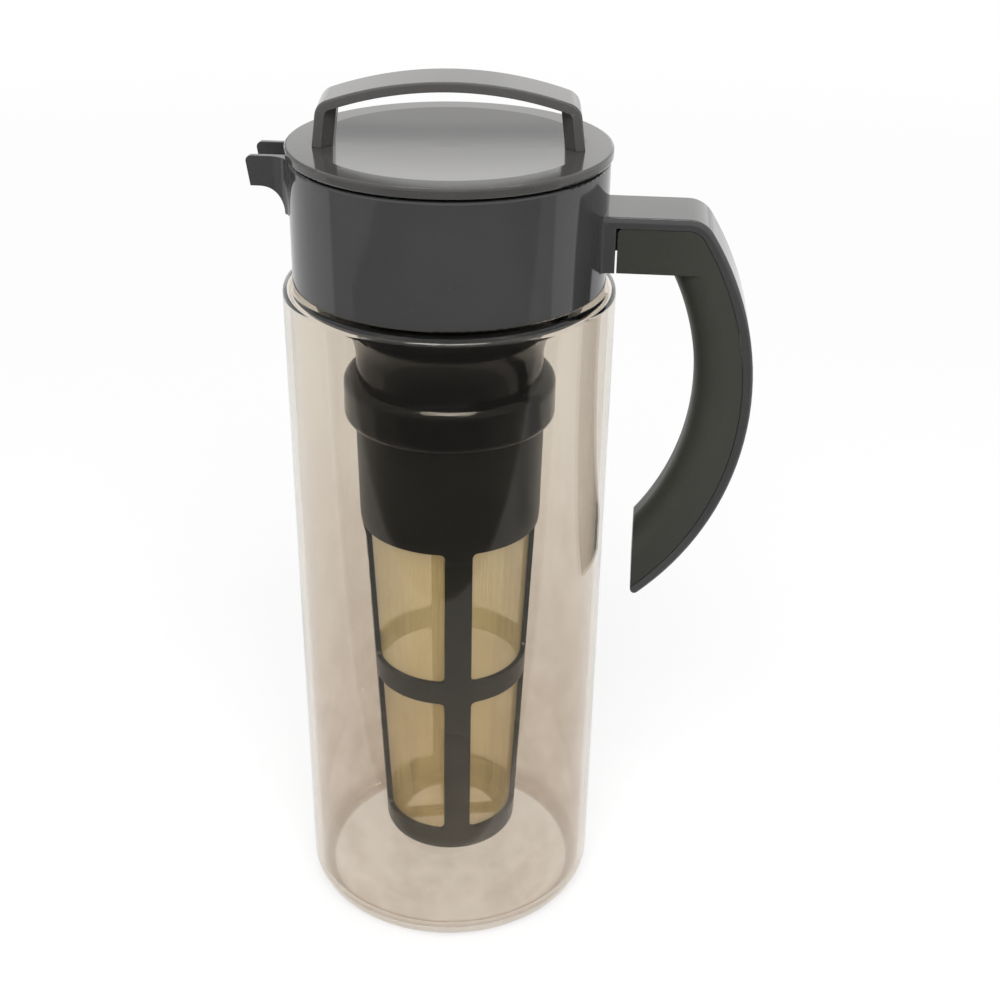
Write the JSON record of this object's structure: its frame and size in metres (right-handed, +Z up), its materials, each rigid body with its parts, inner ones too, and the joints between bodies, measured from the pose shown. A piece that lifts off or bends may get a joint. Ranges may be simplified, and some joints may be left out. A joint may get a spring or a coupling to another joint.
{
  "type": "iced tea pitcher",
  "caption": "Tall clear pitcher with a dark press-fit collar, open spout, arched side handle, lift-out stopper with a hanging mesh tea infuser, and a turning pour lid with a bail.",
  "frame": {"origin": "middle of the flat face under the jar's base", "axes": "+Z up along the jar's axis, +X towards the handle, -X towards the spout"},
  "size_m": [0.1699, 0.113, 0.3137],
  "materials": {
    "clear_jar": "clear and glossy",
    "collar_plastic": "glossy dark grey",
    "lid_plastic": "glossy dark grey",
    "grip_plastic": "satin dark grey, soft to the touch",
    "stopper_plastic": "glossy black",
    "frame_plastic": "satin near-black",
    "mesh_fabric": "fine tan woven mesh",
    "seal_rubber": "matt silicone"
  },
  "bodies": {
    "pitcher": {"jar": "clear_jar", "rim_seal": "seal_rubber", "collar": "collar_plastic", "handle_grip": "grip_plastic"},
    "stopper": {"stopper": "stopper_plastic", "stopper_seal": "seal_rubber", "infuser_socket": "stopper_plastic", "socket_washer": "seal_rubber"},
    "lid": {"lid_cap": "lid_plastic", "lid_bail": "lid_plastic", "lid_valve": "stopper_plastic", "valve_seal": "seal_rubber"},
    "infuser": {"infuser_frame": "frame_plastic", "infuser_mesh": "mesh_fabric", "foot_mesh": "mesh_fabric"}
  },
  "joints": [
    {"name": "stopper_lift", "type": "slide", "parent": "pitcher", "child": "stopper", "axis": [0, 0, 1], "range_m": [0, 0.275]},
    {"name": "lid_turn", "type": "hinge", "parent": "stopper", "child": "lid", "pos_m": [0, 0, 0.2888], "axis": [0, 0, 1], "range_deg": [0, 90]},
    {"name": "infuser_twist", "type": "hinge", "parent": "stopper", "child": "infuser", "pos_m": [0, 0, 0.2], "axis": [0, 0, 1], "range_deg": [0, 60]}
  ]
}
